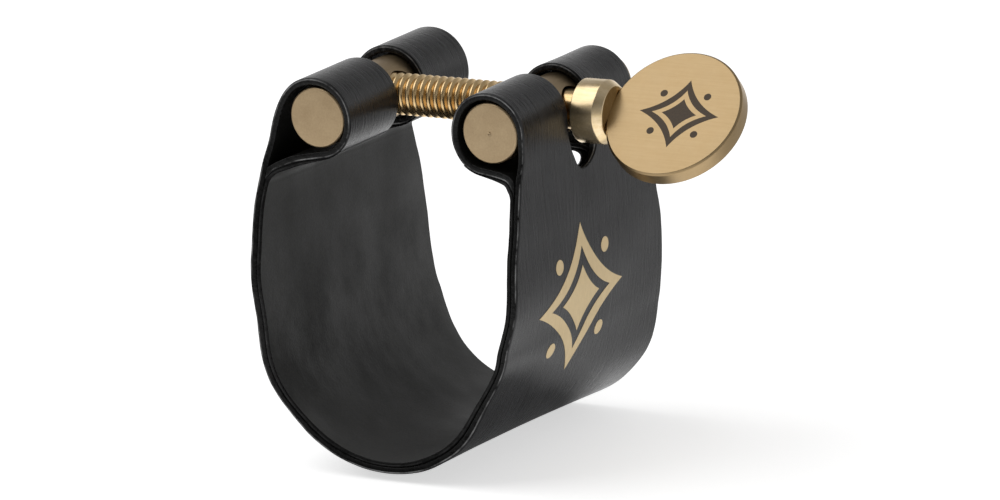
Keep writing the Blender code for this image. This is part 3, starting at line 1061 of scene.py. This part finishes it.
def make_screw(material):
    """The threaded screw: a right-hand thread that runs out into a smooth neck."""
    low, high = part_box("screw_shank")
    axis_z = (low.z + high.z) / 2
    radius = (high.z - low.z) / 2
    tip = low.x
    turns = math.floor((THREAD_END - tip) / THREAD_PITCH)
    count = turns * THREAD_STEPS
    shape = bmesh.new()

    def ring_vertex(along, r, k):
        angle = 2 * math.pi * k / THREAD_SIDES
        return shape.verts.new((along, r * math.cos(angle), axis_z + r * math.sin(angle)))

    def ring_at(along, r):
        return [ring_vertex(along, r, k) for k in range(THREAD_SIDES)]

    columns = []
    for k in range(THREAD_SIDES):
        column = []
        for m in range(count + 1):
            turn = m / THREAD_STEPS + k / THREAD_SIDES
            along = tip + THREAD_START + THREAD_PITCH * turn
            r = min(thread_radius(m / THREAD_STEPS, radius),
                    radius - TIP_ROOT + (along - tip) * TIP_SLOPE)
            to_go = turns + 1 - turn
            if to_go < 1:
                r = SHANK_RADIUS + (r - SHANK_RADIUS) * smooth_step(to_go)
            column.append(ring_vertex(along, r, k))
        columns.append(column)
    for k in range(THREAD_SIDES):
        first = columns[k]
        second = columns[(k + 1) % THREAD_SIDES]
        shift = 0 if k + 1 < THREAD_SIDES else THREAD_STEPS
        for m in range(count - shift):
            shape.faces.new((first[m], first[m + 1], second[m + 1 + shift], second[m + shift]))
    start_ring = ring_at(tip + TIP_RING[0], radius - TIP_RING[1])
    end_ring = ring_at(THREAD_END + THREAD_PITCH, SHANK_RADIUS)
    last = THREAD_SIDES - 1
    for k in range(last):
        shape.faces.new((start_ring[k], start_ring[k + 1], columns[k + 1][0], columns[k][0]))
        shape.faces.new((columns[k][count], columns[k + 1][count], end_ring[k + 1], end_ring[k]))
    shape.faces.new([start_ring[last], start_ring[0]] + columns[0][:THREAD_STEPS + 1]
                    + [columns[last][0]])
    shape.faces.new([columns[0][count], end_ring[0], end_ring[last]]
                    + columns[last][count - THREAD_STEPS:][::-1])
    for ring, along, r in ((start_ring, tip, radius - TIP_FLAT),
                           (end_ring, high.x, SHANK_RADIUS)):
        end = ring_at(along, r)
        bridge(shape, ring, end)
        shape.faces.new(end)
    bmesh.ops.triangulate(shape, faces=[f for f in shape.faces if len(f.verts) > 4])
    bmesh.ops.recalc_face_normals(shape, faces=shape.faces)
    screw = finish_mesh("screw_thread", shape, [material], sharp=60)
    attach(screw, "thumbscrew")
    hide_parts("screw_shank")


def disc_turn():
    """Turns a disc that lies flat so that its top leans back."""
    return Matrix.Rotation(math.radians(90.0 - DISC_LEAN), 3, "X")


def make_collar(axis_z, material):
    bottom = COLLAR_X + COLLAR_BORE_DEPTH
    profile = [(bottom, 0), (bottom, BORE_RADIUS), (COLLAR_X, BORE_RADIUS),
               (COLLAR_X, COLLAR_RADIUS), (COLLAR_SHOULDER_X, COLLAR_RADIUS),
               (COLLAR_END_X, COLLAR_END_RADIUS), (COLLAR_END_X, 0)]
    collar = turned("collar_body", rounded_profile(profile, COLLAR_EDGE), (1, 0, 0),
                    (0, 0, axis_z), material)
    half, reach = DISC_THICKNESS / 2 + FIT_GAP, DISC_RADIUS + FIT_GAP
    groove = turned("groove", same_ends(half, [(0, 0), (0, reach)]),
                    disc_turn() @ Vector((0, 0, 1)), (DISC_X, 0, axis_z), material, DISC_SIDES)
    cut(collar, groove)
    soften(collar, TURNED_EDGE)
    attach(collar, "thumbscrew")
    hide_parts("screw_collar")


def make_disc(axis_z, material):
    half = DISC_THICKNESS / 2
    first_ring, second_ring = DISC_RINGS
    profile = same_ends(half, [
        (0, 0), (0, first_ring), (0, second_ring), (0, DISC_RADIUS - DISC_BEVEL),
        (DISC_BEVEL, DISC_RADIUS)])
    centre = Vector((DISC_X, 0, axis_z))
    normal = disc_turn() @ Vector((0, 0, 1))
    disc = turned("disc_body", rounded_profile(profile, DISC_EDGE), normal, centre,
                  material, DISC_SIDES)
    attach(disc, "thumbscrew")
    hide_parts("thumb_disc")


# ---------------------------------------------------------------- ornaments

def lozenge(half_long, half_short, hollow=0.42, steps=24):
    """A four-pointed outline with hollow sides, from its right point round."""
    corners = [Vector((half_short, 0)), Vector((0, half_long)),
               Vector((-half_short, 0)), Vector((0, -half_long))]
    points = []
    for first, second in zip(corners, corners[1:] + corners[:1]):
        control = (first + second) / 2 * (1 - hollow)
        for i in range(steps):
            t = i / steps
            points.append(first * (1 - t) ** 2 + control * 2 * t * (1 - t) + second * t * t)
    return points


def round_outline(radius, middle, steps=40):
    return [polar(middle, radius, 360.0 * i / steps) for i in range(steps)]


def ornament_outlines():
    """The ornament, 2 high, as (outer outline, inner outline or middle point) pairs."""
    outlines = [(lozenge(1.0, 1.12), lozenge(0.70, 0.78)),
                (lozenge(0.44, 0.49, 0.30), [Vector((0, 0))])]
    for across in (-0.62, 0.62):
        for height in (-0.56, 0.56):
            middle = Vector((across, height))
            outlines.append((round_outline(0.10, middle), [middle]))
    return outlines


def add_ornament(shape, outlines, size, place, thickness, bands=4):
    """Adds the ornament as thin closed plates; place takes (across, up, lift)."""
    for outer, inner in outlines:
        count = len(outer)
        faces = []
        for lift in (0.0, -thickness):
            rings = []
            for band in range(bands + 1):
                share = band / bands
                ring = []
                for i in range(count if band < bands or len(inner) > 1 else 1):
                    spot = outer[i].lerp(inner[i % len(inner)], share) * size
                    ring.append(shape.verts.new(place(spot.x, spot.y, lift)))
                rings.append(ring)
            faces.append(rings)
        top, bottom = faces
        for rings in faces:
            for first, second in zip(rings, rings[1:]):
                bridge(shape, first, second)
        bridge(shape, top[0], bottom[0])
        if len(inner) > 1:
            bridge(shape, top[-1], bottom[-1])
    bmesh.ops.recalc_face_normals(shape, faces=shape.faces)


def make_wall_mark(strip):
    """The gold foil ornament on the right wall."""
    shape = bmesh.new()
    layer = shape.verts.layers.float_vector.new("strip")
    middle = strip.along_at(WALL_MARK_HEIGHT)

    def place(across, up, lift):
        return strip.place(middle + up, WALL_MARK_ACROSS + across, -(lift + FOIL_LIFT))

    add_ornament(shape, ornament_outlines(), WALL_MARK_SIZE, place, FOIL_THICKNESS)
    for corner in shape.verts:
        corner[layer] = Vector((corner.co.y, middle + corner.co.z, 0)) / MM
    foil = finish_mesh("foil_ornament", shape, [foil_material()])
    bend(foil)


def make_disc_mark(axis_z):
    """The dark engraved ornament on the thumb disc."""
    shape = bmesh.new()
    turn = disc_turn()
    centre = Vector((DISC_X + DISC_MARK_SHIFT, 0, axis_z))
    up, normal = turn @ Vector((0, 1, 0)), turn @ Vector((0, 0, 1))

    def place(across, height, lift):
        return (centre + Vector((across, 0, 0)) + up * height
                + normal * (DISC_THICKNESS / 2 + ENGRAVING_LIFT + lift))

    add_ornament(shape, ornament_outlines(), DISC_MARK_SIZE, place, FOIL_THICKNESS)
    mark = finish_mesh("disc_ornament", shape, [inlay_material()])
    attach(mark, "thumbscrew")


# ---------------------------------------------------------------- stage

def make_camera():
    azimuth = math.radians(CAMERA_AZIMUTH)
    elevation = math.radians(CAMERA_ELEVATION)
    roll = math.radians(CAMERA_ROLL)
    back = Vector((math.sin(azimuth) * math.cos(elevation),
                   -math.cos(azimuth) * math.cos(elevation), math.sin(elevation)))
    right = Vector((math.cos(azimuth), math.sin(azimuth), 0))
    up = back.cross(right)
    level_right = right * math.cos(roll) - up * math.sin(roll)
    level_up = right * math.sin(roll) + up * math.cos(roll)
    position = AIM_POINT + back * CAMERA_DISTANCE
    target = AIM_POINT + level_right * AIM_RIGHT - level_up * AIM_DOWN
    away = (position - target).normalized()
    side = level_up.cross(away).normalized()
    head = away.cross(side)
    data = bpy.data.cameras.new("camera")
    data.lens = CAMERA_LENS
    data.sensor_width = SENSOR_WIDTH
    data.clip_start = 0.01
    camera = bpy.data.objects.new("camera", data)
    turn = Matrix((side, head, away)).transposed()
    camera.matrix_world = Matrix.Translation(position) @ turn.to_4x4()
    bpy.context.scene.collection.objects.link(camera)
    bpy.context.scene.camera = camera


def make_softbox():
    """A soft square light that faces the object."""
    data = bpy.data.lights.new("softbox", "AREA")
    data.shape = "SQUARE"
    data.size = SOFTBOX_SIZE
    data.energy = SOFTBOX_POWER
    light = bpy.data.objects.new("softbox", data)
    light.location = SOFTBOX_PLACE
    aim = SOFTBOX_AIM - Vector(SOFTBOX_PLACE)
    light.rotation_euler = aim.to_track_quat("-Z", "Y").to_euler()
    bpy.context.scene.collection.objects.link(light)


def make_world():
    """A white sweep low down and behind, darker above and towards the camera."""
    world = bpy.data.worlds.new("studio")
    world.use_nodes = True
    tree = world.node_tree
    background = tree.nodes["Background"]
    way = add_node(tree, "ShaderNodeTexCoord").outputs["Generated"]
    height = spread(tree, part_of(tree, way, "Z"), SWEEP_LIGHT, CEILING_LIGHT,
                    *SWEEP_TO_CEILING)
    behind = spread(tree, part_of(tree, way, "Y"), FRONT_SHARE, 1.0, *FRONT_TO_BACK)
    tree.links.new(combine(tree, "MULTIPLY", height, behind), background.inputs["Strength"])
    background.inputs["Color"].default_value = (1, 1, 1, 1)
    bpy.context.scene.world = world


def make_floor():
    """The pale floor, and the one that only reflections see, a hair below it, whose glow paints a
    shadow.
    """
    low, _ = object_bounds()
    floors = []
    for name, gap, material in (
            ("floor", FLOOR_GAP, floor_material()),
            ("mirrored_floor", MIRRORED_FLOOR_GAP, mirrored_floor_material())):
        shape = bmesh.new()
        bmesh.ops.create_grid(shape, x_segments=1, y_segments=1, size=FLOOR_SIZE)
        bmesh.ops.translate(shape, verts=shape.verts, vec=(0, 0, low[2] - gap))
        floors.append(finish_mesh(name, shape, [material]))
    floor, mirrored = floors
    floor.visible_glossy = False
    mirrored.visible_camera = False
    mirrored.visible_diffuse = False
    mirrored.visible_shadow = False


def make_stage():
    make_camera()
    make_world()
    make_softbox()
    make_floor()
    bpy.context.scene.view_settings.view_transform = "Standard"


def main():
    noise.seed_set(RIPPLE_SEED)
    strap = make_leather("strap", strap_lines, STRAP_EDGE, [
        leather_material(), edge_material("black_edge_paint", STRAP_EDGE_PALE),
        back_material()])
    make_leather("lining", lining_lines, LINING_EDGE, [
        back_material(), edge_material("black_lining_edge", LINING_EDGE_PALE),
        lining_material()], LINING_END_TAPER)
    barrel = barrel_material()
    make_barrel("threaded_barrel", "left_pin", 0.0, barrel)
    make_barrel("plain_barrel", "right_pin", DIMPLE_DEPTH, barrel)
    low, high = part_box("screw_shank")
    axis_z = (low.z + high.z) / 2
    make_screw(screw_material())
    make_collar(axis_z, collar_material())
    make_disc(axis_z, disc_material())
    make_wall_mark(strap[1])
    make_disc_mark(axis_z)
    make_stage()


main()
